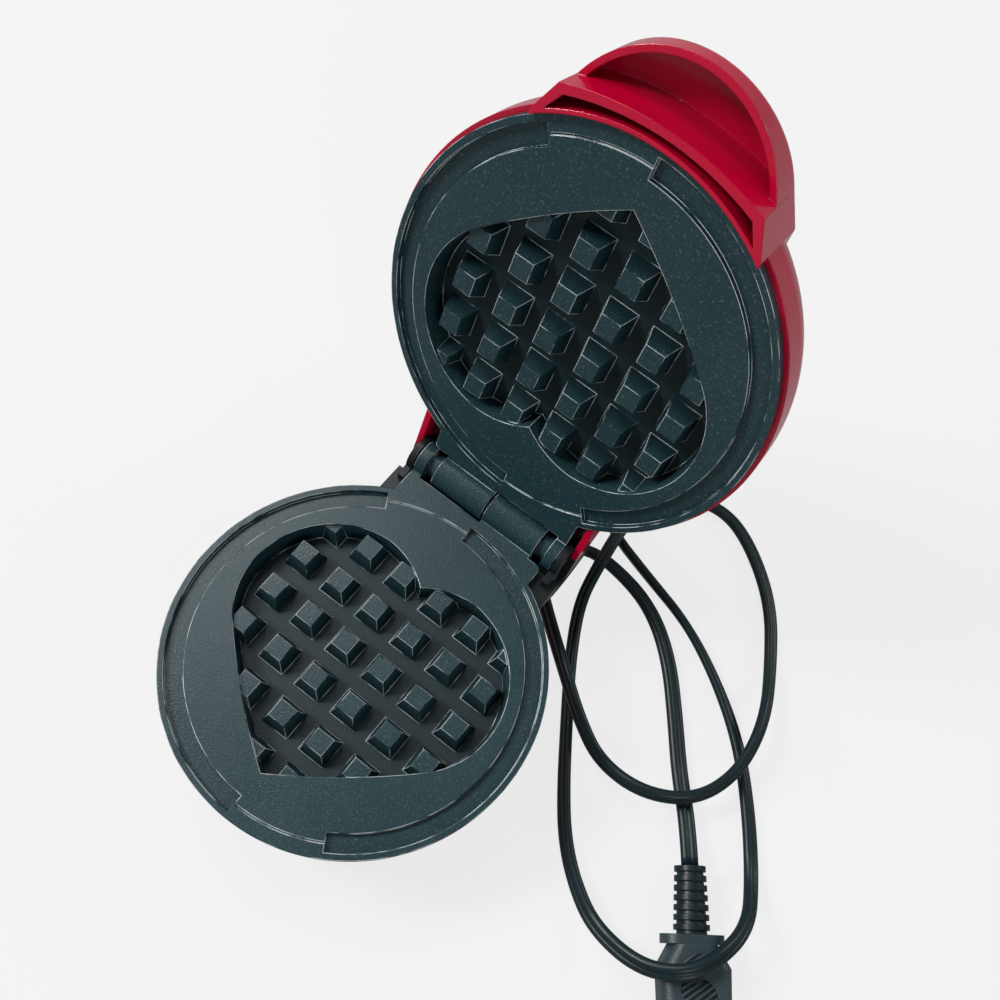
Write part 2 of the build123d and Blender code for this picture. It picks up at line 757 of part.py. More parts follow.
lamp_root = core_t + pan_depth
with BuildPart() as lamp:
    with BuildSketch(below(lid_face, lamp_root)):
        with Locations((0, lens_v)):
            Circle(lamp_r)
    extrude(amount=lamp_root - lens_seat + lamp_r)
    fillet(lamp.faces().sort_by(Axis(lid_face.origin, lid_face.z_dir))[0].edges(), radius=lamp_r / 2)
keep(lamp.part, "indicator_lamp")

# Thermostat and thermal fuse behind the lower pan, and the terminal block on the cover
with BuildPart() as thermostat:
    with BuildSketch(below(base_face, core_t + pan_depth)):
        Circle(thermostat_r)
    extrude(amount=-thermostat_h * thermostat_base)
    with BuildSketch(below(base_face, core_t + pan_depth + thermostat_h * thermostat_base)):
        Circle(thermostat_r - thermostat_step)
    extrude(amount=-thermostat_h * (1 - thermostat_base))
    with BuildSketch(below(base_face, core_t + pan_depth + thermostat_h)):
        with Locations((-thermostat_r / 2, 0), (thermostat_r / 2, 0)):
            Rectangle(spade_t, spade_w)
    extrude(amount=-spade_len)
keep(thermostat.part, "thermostat")

with BuildPart() as fuse:
    with BuildSketch(profile(base_face).offset(-fuse_len / 2)):
        with Locations((fuse_reach, -core_t - pan_depth - fuse_r - fixed_clearance)):
            Circle(fuse_r)
    extrude(amount=fuse_len)
    chamfer(fuse.edges(), length=fuse_chamfer)
keep(fuse.part, "thermal_fuse")

with BuildPart() as block:
    with BuildSketch(below(base_face, table - cover_t)):
        with Locations((0, -block_reach)):
            Rectangle(block_l, block_w)
    extrude(amount=block_h)
    with BuildSketch(below(base_face, table - cover_t - block_h)):
        with Locations((0, -block_reach)):
            with GridLocations(block_l / 3, 0, 3, 1):
                Circle(screw_head_r)
    extrude(amount=-block_h / 2, mode=Mode.SUBTRACT)
keep(block.part, "terminal_block")

with BuildPart() as bracket_screws:
    with BuildSketch(below(base_face, parting_h - screw_seat)):
        with Locations((-bracket_screw_x, bracket_screw_y), (bracket_screw_x, bracket_screw_y)):
            Circle(screw_r)
    extrude(amount=parting_h - screw_seat - screw_sunk)
    with BuildSketch(below(base_face, parting_h - screw_seat)):
        with Locations((-bracket_screw_x, bracket_screw_y), (bracket_screw_x, bracket_screw_y)):
            Circle(screw_head_r)
    extrude(amount=-screw_head_t)
keep(bracket_screws.part, "bracket_screws")

# Cord boot: a collar inside the neck, a shank through its wall, and a tapered tail
with BuildPart() as cord_boot:
    with BuildSketch(boot_plane.offset(-boot_inside)):
        Circle(boot_collar_r)
    extrude(amount=boot_collar_t)
    with BuildSketch(boot_plane.offset(-boot_inside)):
        Circle(boot_big_r)
    extrude(amount=boot_inside)
    with BuildSketch(boot_plane):
        Circle(boot_big_r)
    with BuildSketch(boot_plane.offset(boot_len)):
        Circle(boot_small_r)
    loft()
keep(cord_boot.part, "cord_boot")

# Cord: from the boot it runs out in two loose loops beside the feet and ends at the plug.
# Places are from the plates' centre, with the height over the table.
lie = cord_r
plug_h = plug_t / 2
plug_dir = Vector(1, 0, 0).rotate(Axis.Z, plug_turn)
plug_start = Vector(plug_x, plug_y, plug_h)
low, mid, high, over = lie, 5.2, 9.0, 19.4
cord_route = [
    (boot_x, boot_root + boot_len, boot_h),
    (-10, 110, 11),
    (-1, 120, 6),
    (14, 116.5, low),
    (33, 103.5, low),
    (54, 97, low),
    (76, 91, low),
    (96, 80, low),
    (114.5, 66, low),
    (130, 48, low),
    (142.5, 30, low),
    (146.5, 14, 13),
    (141.5, -2, over),
    (135, -11.5, over),
    (123.5, -17, 14),
    (108, -14.5, 4),
    (96, -7.5, low),
    (85, 2, low),
    (75, 15, low),
    (62, 35, low),
    (50, 54, low),
    (41, 72, low),
    (38.5, 84, high),
    (36, 107, high),
    (38.5, 120.5, low),
    (48, 134, low),
    (64, 138.5, low),
    (80, 131.5, low),
    (97, 117, low),
    (108.5, 98, low),
    (116.5, 76, high),
    (118.5, 55, 9.6),
    (111.5, 37.5, 11),
    (96, 28.5, 10),
    (79, 29.5, mid),
    (65, 36, high),
    (50, 47.5, high),
    (36, 60, 3.4),
    (22.5, 71.5, low),
    (22.5, 84, low),
    (32, 92.8, low),
    (52, 91, low),
    (66, 85.5, low),
    (79, 75, low),
    (91.5, 60, low),
    (103.5, 44.5, low),
]
points = [Vector(x, y, z) for x, y, z in cord_route] + [plug_start - plug_dir * plug_straight, plug_start]
points = [point + Vector(0, standing_y, 0) for point in points]
runs = [after - before for before, after in zip(points, points[1:])]
radii = [
    0.45 * min(one.length, two.length) / math.tan(math.radians(one.get_angle(two) / 2))
    for one, two in zip(runs, runs[1:])
]
print("cord corner radii", [round(radius, 1) for radius in radii])
with BuildPart() as cord:
    with BuildLine() as path:
        FilletPolyline(*points, radius=radii)
    with BuildSketch(Plane(origin=path.line @ 0, z_dir=path.line % 0)):
        Circle(cord_r)
    sweep()
keep(cord.part, "power_cord")
cord_length = sum(edge.length for edge in path.line.edges())
print("cord length", round(cord_length), "valid", cord.part.is_valid)
print("tube over section times length", cord.part.volume / (math.pi * cord_r**2 * cord_length))

# Plug: a ribbed relief, a flange and a flat body that lies on the table, with two blades
plug_root = plug_start + Vector(0, standing_y, 0)
plug_plane = Plane(origin=plug_root, x_dir=(plug_dir.Y, -plug_dir.X, 0), z_dir=plug_dir)
with BuildPart() as plug_relief:
    rib_pitch = plug_relief_len / plug_rib_count
    with BuildSketch(plug_plane):
        Circle(plug_relief_small - plug_relief_groove)
    with BuildSketch(plug_plane.offset(plug_relief_len)):
        Circle(plug_relief_big - plug_relief_groove)
    loft()
    for rib in range(plug_rib_count):
        share = rib / (plug_rib_count - 1)
        with BuildSketch(plug_plane.offset(rib * rib_pitch)):
            Circle(plug_relief_small + share * (plug_relief_big - plug_relief_small))
        extrude(amount=rib_pitch * plug_rib_share)
keep(plug_relief.part, "plug_relief")

with BuildPart() as plug_body:
    flange_plane = plug_plane.offset(plug_relief_len)
    with BuildSketch(flange_plane):
        RectangleRounded(2 * plug_flange_half, plug_t - plug_flange_in, plug_flange_r)
    extrude(amount=plug_flange_t)
    for start, stop, begin, end, thin in (
        (0, plug_shoulder, plug_neck_half, plug_body_half, plug_neck_in),
        (plug_shoulder, plug_body_len, plug_body_half, plug_body_half - plug_body_taper, 0),
    ):
        with BuildSketch(flange_plane.offset(plug_flange_t + start)):
            RectangleRounded(2 * begin, plug_t - thin, plug_corner_r)
        with BuildSketch(flange_plane.offset(plug_flange_t + stop)):
            RectangleRounded(2 * end, plug_t, plug_corner_r)
        loft(ruled=True)
    with BuildSketch(Plane.XY.offset(plug_t - thumb_depth)):
        with Locations(flange_plane.offset(plug_flange_t + plug_body_len * thumb_place).origin):
            Ellipse(*thumb_half)
    extrude(amount=2 * thumb_depth, mode=Mode.SUBTRACT)
keep(plug_body.part, "plug_body")

with BuildPart() as plug_blades:
    with BuildSketch(plug_plane.offset(plug_relief_len + plug_flange_t + plug_body_len)):
        with GridLocations(blade_pitch, 0, 2, 1):
            Rectangle(blade_t, blade_w)
    extrude(amount=blade_len)
keep(plug_blades.part, "plug_blades")
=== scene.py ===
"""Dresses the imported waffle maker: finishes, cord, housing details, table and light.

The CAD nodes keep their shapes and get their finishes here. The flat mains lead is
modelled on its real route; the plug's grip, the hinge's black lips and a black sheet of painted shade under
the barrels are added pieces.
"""

import json
import logging
import math
from collections.abc import Callable
from dataclasses import dataclass, field
from enum import Enum

import bmesh
import bpy
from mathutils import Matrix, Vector


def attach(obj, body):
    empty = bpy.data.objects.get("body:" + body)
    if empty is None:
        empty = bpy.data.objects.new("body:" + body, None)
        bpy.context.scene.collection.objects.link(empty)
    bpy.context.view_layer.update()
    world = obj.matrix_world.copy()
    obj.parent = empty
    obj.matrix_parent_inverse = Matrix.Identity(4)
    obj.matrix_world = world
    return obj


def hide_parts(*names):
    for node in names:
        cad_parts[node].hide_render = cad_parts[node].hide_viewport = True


log = logging.getLogger("waffle_maker")
MM = 0.001

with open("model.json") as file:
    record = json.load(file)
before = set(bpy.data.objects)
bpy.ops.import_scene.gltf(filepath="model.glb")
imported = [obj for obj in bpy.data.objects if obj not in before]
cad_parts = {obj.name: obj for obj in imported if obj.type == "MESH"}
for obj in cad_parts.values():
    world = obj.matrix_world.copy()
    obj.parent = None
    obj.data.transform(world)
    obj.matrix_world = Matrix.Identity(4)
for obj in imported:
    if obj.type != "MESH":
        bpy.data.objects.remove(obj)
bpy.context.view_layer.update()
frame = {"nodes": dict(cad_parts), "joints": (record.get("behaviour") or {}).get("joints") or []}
NODES: dict[str, bpy.types.Object] = frame["nodes"]
HINGE = Vector(frame["joints"][0]["pos_m"])
HINGE_REACH = 67.7 * MM
PLATE_CENTRE = Vector((0, HINGE.y - HINGE_REACH, HINGE.z))
OPEN_ANGLE = math.radians(110)
LID_OUT = Vector((0, -math.cos(OPEN_ANGLE), math.sin(OPEN_ANGLE)))
LID_NORMAL = Vector((0, -math.sin(OPEN_ANGLE), -math.cos(OPEN_ANGLE)))
# Direction across the base housing; its colour turns black past a plane along it.
BASE_BLACK_SIDE = Vector((0, 0.6, 0.8))
PLUG_START = Vector((122.3 * MM, PLATE_CENTRE.y + 19.9 * MM, 6.5 * MM))
PLUG_TURN = math.radians(-55.15)
PLUG_ALONG = Vector((math.cos(PLUG_TURN), math.sin(PLUG_TURN), 0))
RED = (0.43, 0.0004, 0.026, 1)
DEEP_RED = (0.34, 0.0003, 0.020, 1)


class Half(Enum):
    """The two halves of the appliance, named by the CAD body that carries them."""

    BASE = "base"
    LID = "lid"


class Signal:
    """A shader socket that takes part in plain arithmetic."""

    def __init__(self, shader: "Shader", socket: bpy.types.NodeSocket) -> None:
        """Keeps the socket and the shader that owns it."""
        self.shader = shader
        self.socket = socket

    def _math(self, operation: str, other: "Signal | float", flip: bool = False) -> "Signal":
        """Adds one Math node for an operator."""
        first, second = (other, self) if flip else (self, other)
        return self.shader.node("ShaderNodeMath", {"operation": operation}, {0: first, 1: second})

    def __add__(self, other: "Signal | float") -> "Signal":
        """Adds."""
        return self._math("ADD", other)

    def __radd__(self, other: float) -> "Signal":
        """Adds, reflected."""
        return self._math("ADD", other)

    def __sub__(self, other: "Signal | float") -> "Signal":
        """Subtracts."""
        return self._math("SUBTRACT", other)

    def __rsub__(self, other: float) -> "Signal":
        """Subtracts, reflected."""
        return self._math("SUBTRACT", other, flip=True)

    def __mul__(self, other: "Signal | float") -> "Signal":
        """Multiplies."""
        return self._math("MULTIPLY", other)

    def __rmul__(self, other: float) -> "Signal":
        """Multiplies, reflected."""
        return self._math("MULTIPLY", other)

    def __gt__(self, other: "Signal | float") -> "Signal":
        """Is 1 where this is greater."""
        return self._math("GREATER_THAN", other)


class Shader:
    """The node tree of one material, with a Principled shader at its end."""

    def __init__(self, name: str) -> None:
        """Makes an empty material of that name."""
        self.material = bpy.data.materials.new(name)
        self.material.use_nodes = True
        self.tree = self.material.node_tree
        self.principled = self.tree.nodes["Principled BSDF"]
        self.place = self.node("ShaderNodeTexCoord", {}, {}, "Object")

    def node(self, kind: str, settings: dict, inputs: dict, output: int | str = 0) -> Signal:
        """Adds a node.

        Args:
            kind: Blender's type name of the node.
            settings: Attributes that are set first.
            inputs: Values or signals by the socket's name or number.
            output: The output that is wanted.

        Returns:
            The wanted output as a signal.
        """
        made = self.tree.nodes.new(kind)
        for key, value in settings.items():
            setattr(made, key, value)
        for key, value in inputs.items():
            self.feed(made.inputs[key], value)
        return Signal(self, made.outputs[output])

    def feed(self, socket: bpy.types.NodeSocket, value: "Signal | float | tuple") -> None:
        """Links a signal to a socket, or sets the socket's own value."""
        if isinstance(value, Signal):
            self.tree.links.new(value.socket, socket)
        else:
            socket.default_value = value

    def shine(self, **sockets: "Signal | float | tuple") -> None:
        """Sets Principled sockets by name, with spaces written as underscores."""
        for key, value in sockets.items():
            self.feed(self.principled.inputs[key.replace("_", " ")], value)

    def noise(self, scale: float, detail: float = 2.0, where: Signal | None = None) -> Signal:
        """Noise of that scale in cycles per metre."""
        inputs = {"Vector": where or self.place, "Scale": scale, "Detail": detail}
        return self.node("ShaderNodeTexNoise", {}, inputs)

    def mapped(self, scale: tuple) -> Signal:
        """Object coordinates stretched along each axis."""
        return self.node("ShaderNodeMapping", {}, {"Vector": self.place, "Scale": scale})

    def along(self, direction: Vector) -> Signal:
        """Distance along a direction in the YZ plane, in metres."""
        split = [self.node("ShaderNodeSeparateXYZ", {}, {0: self.place}, name) for name in "YZ"]
        return sum((axis * part for axis, part in zip(split, direction.yz)), 0.0)

    def blend(self, mask: "Signal | float", first: "tuple | Signal", second: "tuple | Signal") -> Signal:
        """Colour that goes from the first to the second with a mask."""
        inputs = {0: mask, 6: first, 7: second}
        return self.node("ShaderNodeMix", {"data_type": "RGBA"}, inputs, 2)

    def ramp(self, mask: Signal, low: float, high: float) -> Signal:
        """Mask that rises from 0 to 1 between two values."""
        inputs = {"Value": mask, "From Min": low, "From Max": high}
        return self.node("ShaderNodeMapRange", {"interpolation_type": "SMOOTHSTEP"}, inputs)

    def rounded(self, radius: float) -> Signal:
        """Normal with the edges rounded to a radius in metres."""
        return self.node("ShaderNodeBevel", {"samples": 8}, {"Radius": radius})

    def bump(self, height: Signal, depth: float, normal: Signal | None = None) -> Signal:
        """Normal with a height over it, whose full scale is a depth in metres."""
        inputs = {"Strength": 1.0, "Distance": depth, "Height": height}
        if normal:
            inputs["Normal"] = normal
        return self.node("ShaderNodeBump", {}, inputs)


@dataclass(frozen=True)
class CoatedCasting:
    """Dark satin coating over a die casting, with fine grain, painted highlights on its edges and painted
    shade in its pockets.

    The land is a point of the cooking face, whose normal gives the depth into the pocket.
    """

    name: str
    land: Vector
    normal: Vector
    colour: tuple = (0.007, 0.023, 0.028, 1)
    pale: tuple = (0.013, 0.037, 0.043, 1)
    # Painted shade: this colour darkens the pockets, where shade falls.
    painted_shade: tuple = (0.002, 0.013, 0.016, 1)
    fleck: tuple = (0.09, 0.115, 0.12, 1)
    # Painted highlight: a pale colour on the edges, where lamps would glint.
    painted_highlight: tuple = (0.52, 0.57, 0.58, 1)
    roughness: float = 0.31
    specular: float = 0.36
    edge: float = 0.5 * MM
    grain_depth: float = 0.09 * MM
    # Depths below the land over which the painted shade comes in.
    pocket_from: float = 1.4 * MM
    pocket_to: float = 6.5 * MM

    def build(self) -> bpy.types.Material:
        """Makes the material."""
        shader = Shader(self.name)
        cloud = shader.noise(38, 4)
        grain = shader.noise(2000, 3)
        speck = shader.ramp(shader.noise(1500, 1), 0.58, 0.74)
        depth = self.normal.dot(self.land) - shader.along(self.normal)
        deep = shader.ramp(depth, self.pocket_from, self.pocket_to)
        soft = shader.rounded(self.edge)
        flat = shader.node("ShaderNodeNewGeometry", {}, {}, "True Normal")
        operation = {"operation": "DOT_PRODUCT"}
        square = shader.node("ShaderNodeVectorMath", operation, {0: soft, 1: flat}, "Value")
        rim = shader.ramp(1.0 - square, 0.012, 0.13)
        # Painted highlight: the edges are painted pale, broken up by noise.
        painted_highlight_mask = rim * shader.ramp(shader.noise(110, 4), 0.4, 0.56)
        tone = shader.blend(speck * 0.4, shader.blend(cloud, self.colour, self.pale), self.fleck)
        # Painted shade: the tone darkens with depth into the pockets.
        tone_with_painted_shade = shader.blend(deep, tone, self.painted_shade)
        uneven = (cloud - 0.5) * 0.14 + (grain - 0.5) * 0.1
        shader.shine(
            Base_Color=shader.blend(painted_highlight_mask * 0.9, tone_with_painted_shade, self.painted_highlight),
            Roughness=self.roughness + deep * 0.22 + uneven - rim * 0.12,
            Normal=shader.bump(grain, self.grain_depth, soft),
            Specular_IOR_Level=self.specular,
        )
        return shader.material


@dataclass(frozen=True)
class GlossMoulding:
    """Glossy moulded plastic with a faint swirl, a soft edge, a clear skin, and black on the hinge side of a
    plane.
    """

    name: str
    colour: tuple
    deep: tuple
    # The colour turns black beyond a plane set by this direction and offset.
    black_side_towards: Vector
    black_side_from: float
    black: tuple = (0.008, 0.009, 0.010, 1)
    roughness: float = 0.16
    edge: float = 0.6 * MM
    coat: float = 0.25
    coat_roughness: float = 0.06
    specular: float = 0.35

    def build(self) -> bpy.types.Material:
        """Makes the material."""
        shader = Shader(self.name)
        swirl = shader.noise(24, 3)
        skin = shader.noise(420, 1)
        level = self.black_side_towards.dot(HINGE) + self.black_side_from
        # Black on the hinge side of a plane across the housing.
        hinge_side = shader.along(self.black_side_towards) > level
        red = shader.blend(swirl, self.deep, self.colour)
        normal = shader.bump(skin, 0.012 * MM, shader.rounded(self.edge))
        shader.shine(
            Base_Color=shader.blend(hinge_side, red, self.black),
            Roughness=self.roughness + (shader.noise(90, 4) - 0.5) * 0.08 + hinge_side * 0.24,
            Normal=normal,
            Coat_Roughness=self.coat_roughness,
            Coat_Weight=self.coat,
            Specular_IOR_Level=self.specular,
        )
        return shader.material


@dataclass(frozen=True)
class SatinMoulding:
    """Satin or matt plastic and rubber with a spark-eroded grain."""

    name: str
    colour: tuple
    roughness: float = 0.5
    grain: float = 1800.0
    depth: float = 0.03 * MM
    edge: float = 0.35 * MM
    specular: float = 0.5

    def build(self) -> bpy.types.Material:
        """Makes the material."""
        shader = Shader(self.name)
        grain = shader.noise(self.grain, 2)
        cloud = shader.noise(60, 3)
        lighter = tuple(1.5 * part + 0.002 for part in self.colour[:3]) + (1,)
        shader.shine(
            Base_Color=shader.blend(cloud, self.colour, lighter),
            Roughness=self.roughness + (grain - 0.5) * 0.14,
            Normal=shader.bump(grain, self.depth, shader.rounded(self.edge)),
            Specular_IOR_Level=self.specular,
        )
        return shader.material


@dataclass(frozen=True)
class DrawnMetal:
    """Bare or plated metal with fine lines along an axis and heat tint."""

    name: str
    colour: tuple
    tint: tuple
    roughness: float = 0.3
    stretch: tuple = (900, 900, 60)
    edge: float = 0.2 * MM

    def build(self) -> bpy.types.Material:
        """Makes the material."""
        shader = Shader(self.name)
        lines = shader.noise(1.0, 2, shader.mapped(self.stretch))
        cloud = shader.noise(70, 3)
        shader.shine(
            Base_Color=shader.blend(shader.ramp(cloud, 0.42, 0.66), self.colour, self.tint),
            Metallic=1.0,
            Roughness=self.roughness + (lines - 0.5) * 0.2,
            Normal=shader.bump(lines, 0.008 * MM, shader.rounded(self.edge)),
        )
        return shader.material


@dataclass(frozen=True)
class ClearMoulding:
    """Tinted clear plastic or glass with faint flow lines."""

    name: str
    colour: tuple
    roughness: float = 0.12

    def build(self) -> bpy.types.Material:
        """Makes the material."""
        shader = Shader(self.name)
        flow = shader.noise(300, 2)
        darker = tuple(0.7 * part for part in self.colour[:3]) + (1,)
        shader.shine(
            Base_Color=shader.blend(flow, darker, self.colour),
            Roughness=self.roughness + (flow - 0.5) * 0.1,
            Normal=shader.bump(flow, 0.01 * MM, shader.rounded(0.2 * MM)),
            Transmission_Weight=0.55,
        )
        return shader.material


class Finish(Enum):
    """The finishes of the appliance."""

    LOWER_PLATE = CoatedCasting("lower_coating", PLATE_CENTRE, Vector((0, 0, 1)))
    UPPER_PLATE = CoatedCasting("upper_coating", HINGE + LID_OUT * HINGE_REACH, LID_NORMAL)
    RED_BASE = GlossMoulding("red_base", RED, DEEP_RED, BASE_BLACK_SIDE, -22 * MM)
    RED_LID = GlossMoulding("red_lid", RED, DEEP_RED, -LID_OUT, -1.5 * MM)
    BRACKET = SatinMoulding("bracket_black", (0.003, 0.005, 0.006, 1), 0.36, 900, specular=0.35)
    COVER = SatinMoulding("black_plastic", (0.016, 0.016, 0.018, 1), 0.55)
    RUBBER = SatinMoulding("foot_rubber", (0.022, 0.022, 0.023, 1), 0.72, 2600)
    CORD = SatinMoulding("cord_pvc", (0.003, 0.010, 0.012, 1), 0.36, 700, 0.02 * MM, specular=0.26)
    PLUG = SatinMoulding("plug_pvc", (0.014, 0.026, 0.030, 1), 0.42, 1300, 0.10 * MM)
    ALUMINIUM = DrawnMetal("reflector_aluminium", (0.62, 0.63, 0.64, 1), (0.70, 0.69, 0.66, 1), 0.36)
    ELEMENT = DrawnMetal("element_steel", (0.20, 0.18, 0.17, 1), (0.32, 0.27, 0.24, 1), 0.42)
    SCREW = DrawnMetal("screw_steel", (0.52, 0.52, 0.53, 1), (0.62, 0.62, 0.62, 1), 0.3)
    PIN = DrawnMetal("pin_steel", (0.46, 0.46, 0.47, 1), (0.56, 0.56, 0.56, 1), 0.22, (60, 900, 900))
    BLOCK = SatinMoulding("block_white", (0.70, 0.69, 0.64, 1), 0.45)
    BLADE = DrawnMetal("blade_brass", (0.62, 0.60, 0.54, 1), (0.68, 0.66, 0.60, 1), 0.18, (900, 900, 900))
    LENS = ClearMoulding("lens_amber", (0.80, 0.22, 0.02, 1))
    LAMP = ClearMoulding("lamp_glass", (0.92, 0.60, 0.40, 1), 0.05)


class FinishBook:
    """Builds each finish once and dresses objects with it."""

    def __init__(self) -> None:
        """Starts with no materials made."""
        self.made: dict[Finish, bpy.types.Material] = {}

    def material(self, finish: Finish) -> bpy.types.Material:
        """Returns the finish's material, which is made on its first use."""
        if finish not in self.made:
            self.made[finish] = finish.value.build()
        return self.made[finish]

    def dress(self, piece: bpy.types.Object, finish: Finish) -> None:
        """Puts a finish in all of a piece's slots, or in a new one."""
        material = self.material(finish)
        if not piece.data.materials:
            piece.data.materials.append(material)
        for index in range(len(piece.data.materials)):
            piece.data.materials[index] = material


@dataclass
class Camera:
    """The photograph's camera, worked out from the plates' square stud grid."""

    offset: tuple = (56.27 * MM, -56.51 * MM, 283.23 * MM)
    turn: tuple = (19.3916, -6.6246, 37.0593)
    sensor: float = 36.0
    focal: float = 34.256
    shift: float = 0.1

    def build(self) -> bpy.types.Object:
        """Makes the camera and gives it to the scene."""
        data = bpy.data.cameras.new("camera")
        data.sensor_width = self.sensor
        data.lens = self.focal
        data.shift_y = self.shift
        data.clip_start = 0.01
        data.clip_end = 20
        camera = bpy.data.objects.new("camera", data)
        bpy.context.collection.objects.link(camera)
        camera.location = PLATE_CENTRE + Vector(self.offset)
        camera.rotation_euler = [math.radians(angle) for angle in self.turn]
        bpy.context.scene.camera = camera
        log.info("camera at %s", tuple(camera.location))
        return camera


@dataclass
class MainsLead:
    """The flat two-core lead, from the boot through two loose loops to the plug."""

    core: float = 1.6 * MM
    core_offset: float = 1.3 * MM
    solid_radius: float = 2.3 * MM
    sides: int = 20
    route: list = field(
        default_factory=lambda: [
            (-10, 97, 11),
            (-10, 110, 11),
            (-1, 120, 6),
            (14, 116.5, 2.3),
            (33, 103.5, 2.3),
            (54, 97, 2.3),
            (76, 91, 2.3),
            (96, 80, 2.3),
            (114.5, 66, 2.3),
            (130, 48, 2.3),
            (142.5, 30, 2.3),
            (146.5, 14, 13),
            (141.5, -2, 19.4),
            (135, -11.5, 19.4),
            (123.5, -17, 14),
            (108, -14.5, 4),
            (96, -7.5, 2.3),
            (85, 2, 2.3),
            (75, 15, 2.3),
            (62, 35, 2.3),
            (50, 54, 2.3),
            (41, 72, 2.3),
            (38.5, 84, 9),
            (36, 107, 9),
            (38.5, 120.5, 2.3),
            (48, 134, 2.3),
            (64, 138.5, 2.3),
            (80, 131.5, 2.3),
            (97, 117, 2.3),
            (108.5, 98, 2.3),
            (116.5, 76, 9),
            (118.5, 55, 9.6),
            (111.5, 37.5, 11),
            (96, 28.5, 10),
            (79, 29.5, 5.2),
            (65, 36, 9),
            (50, 47.5, 9),
            (36, 60, 3.4),
            (22.5, 71.5, 2.3),
            (22.5, 84, 2.3),
            (32, 92.8, 2.3),
            (52, 91, 2.3),
            (66, 85.5, 2.3),
            (79, 75, 2.3),
            (91.5, 60, 2.3),
            (103.5, 44.5, 2.3),
            (115.157, 30.158, 6.5),
            (122.3, 19.9, 6.5),
        ]
    )

    def line(self) -> list[Vector]:
        """Reads the smooth line that has the route's points as its control points."""
        curve = bpy.data.curves.new("lead_line", "CURVE")
        curve.dimensions = "3D"
        spline = curve.splines.new("NURBS")
        spline.points.add(len(self.route) - 1)
        for point, (x, y, z) in zip(spline.points, self.route):
            point.co = (x * MM, PLATE_CENTRE.y + y * MM, z * MM, 1)
        spline.order_u = 3
        spline.use_endpoint_u = True
        spline.resolution_u = 8
        guide = bpy.data.objects.new("lead_line", curve)
        bpy.context.collection.objects.link(guide)
        mesh = bpy.data.meshes.new_from_object(guide)
        points = [vertex.co.copy() for vertex in mesh.vertices]
        bpy.data.meshes.remove(mesh)
        bpy.data.objects.remove(guide)
        return points

    def twist(self, share: float) -> float:
        """Turn of the flat lead about its line, in radians, at a share of its length."""
        settle = min(1.0, (1.0 - share) / 0.16, share / 0.05)
        ease = settle * settle * (3 - 2 * settle)
        return ease * (math.radians(52) + math.radians(22) * math.sin(share * 19.0))

    def build(self, book: FinishBook, grips: list[bpy.types.Object]) -> bpy.types.Object:
        """Args:
            book: The finishes.
            grips: The rib fields on the plug. Not used.

        Returns:
            The lead.
        """
        points = self.line()
        steps = [0.0]
        for before, after in zip(points, points[1:]):
            steps.append(steps[-1] + (after - before).length)
        length = steps[-1]
        mesh = bmesh.new()
        rings = []
        path = []
        for index, point in enumerate(points):
            ahead = points[min(index + 1, len(points) - 1)]
            behind = points[max(index - 1, 0)]
            along = (ahead - behind).normalized()
            across = along.cross(Vector((0, 0, 1))).normalized()
            rise = across.cross(along)
            turn = self.twist(steps[index] / length)
            half_height = self.core_offset * abs(math.sin(turn)) + self.core
            ends = min(1.0, steps[index] / (12 * MM), (length - steps[index]) / (12 * MM))
            centre = point + Vector((0, 0, (half_height - self.solid_radius) * ends))
            path.append(centre)
            ring = []
            for side in range(self.sides):
                angle = 2 * math.pi * side / self.sides
                bulge = self.core**2 - (self.core_offset * math.sin(angle)) ** 2
                reach = self.core_offset * abs(math.cos(angle)) + math.sqrt(bulge)
                flat, tall = reach * math.cos(angle), reach * math.sin(angle)
                sideways = flat * math.cos(turn) - tall * math.sin(turn)
                upwards = flat * math.sin(turn) + tall * math.cos(turn)
                ring.append(mesh.verts.new(centre + across * sideways + rise * upwards))
            rings.append(ring)
        for one, two in zip(rings, rings[1:]):
            for side in range(self.sides):
                after = (side + 1) % self.sides
                mesh.faces.new((one[side], one[after], two[after], two[side]))
        mesh.faces.new(list(reversed(rings[0])))
        mesh.faces.new(rings[-1])
        bmesh.ops.recalc_face_normals(mesh, faces=mesh.faces)
        data = bpy.data.meshes.new("mains_lead")
        mesh.to_mesh(data)
        mesh.free()
        data.shade_smooth()
        lead = bpy.data.objects.new("mains_lead", data)
        bpy.context.collection.objects.link(lead)
        book.dress(lead, Finish.CORD)
        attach(lead, Half.BASE.value)
        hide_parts("power_cord")
        sum((after - before).length for before, after in zip(path, path[1:]))
        log.info("mains lead, %.0f mm long", length / MM)
        return lead


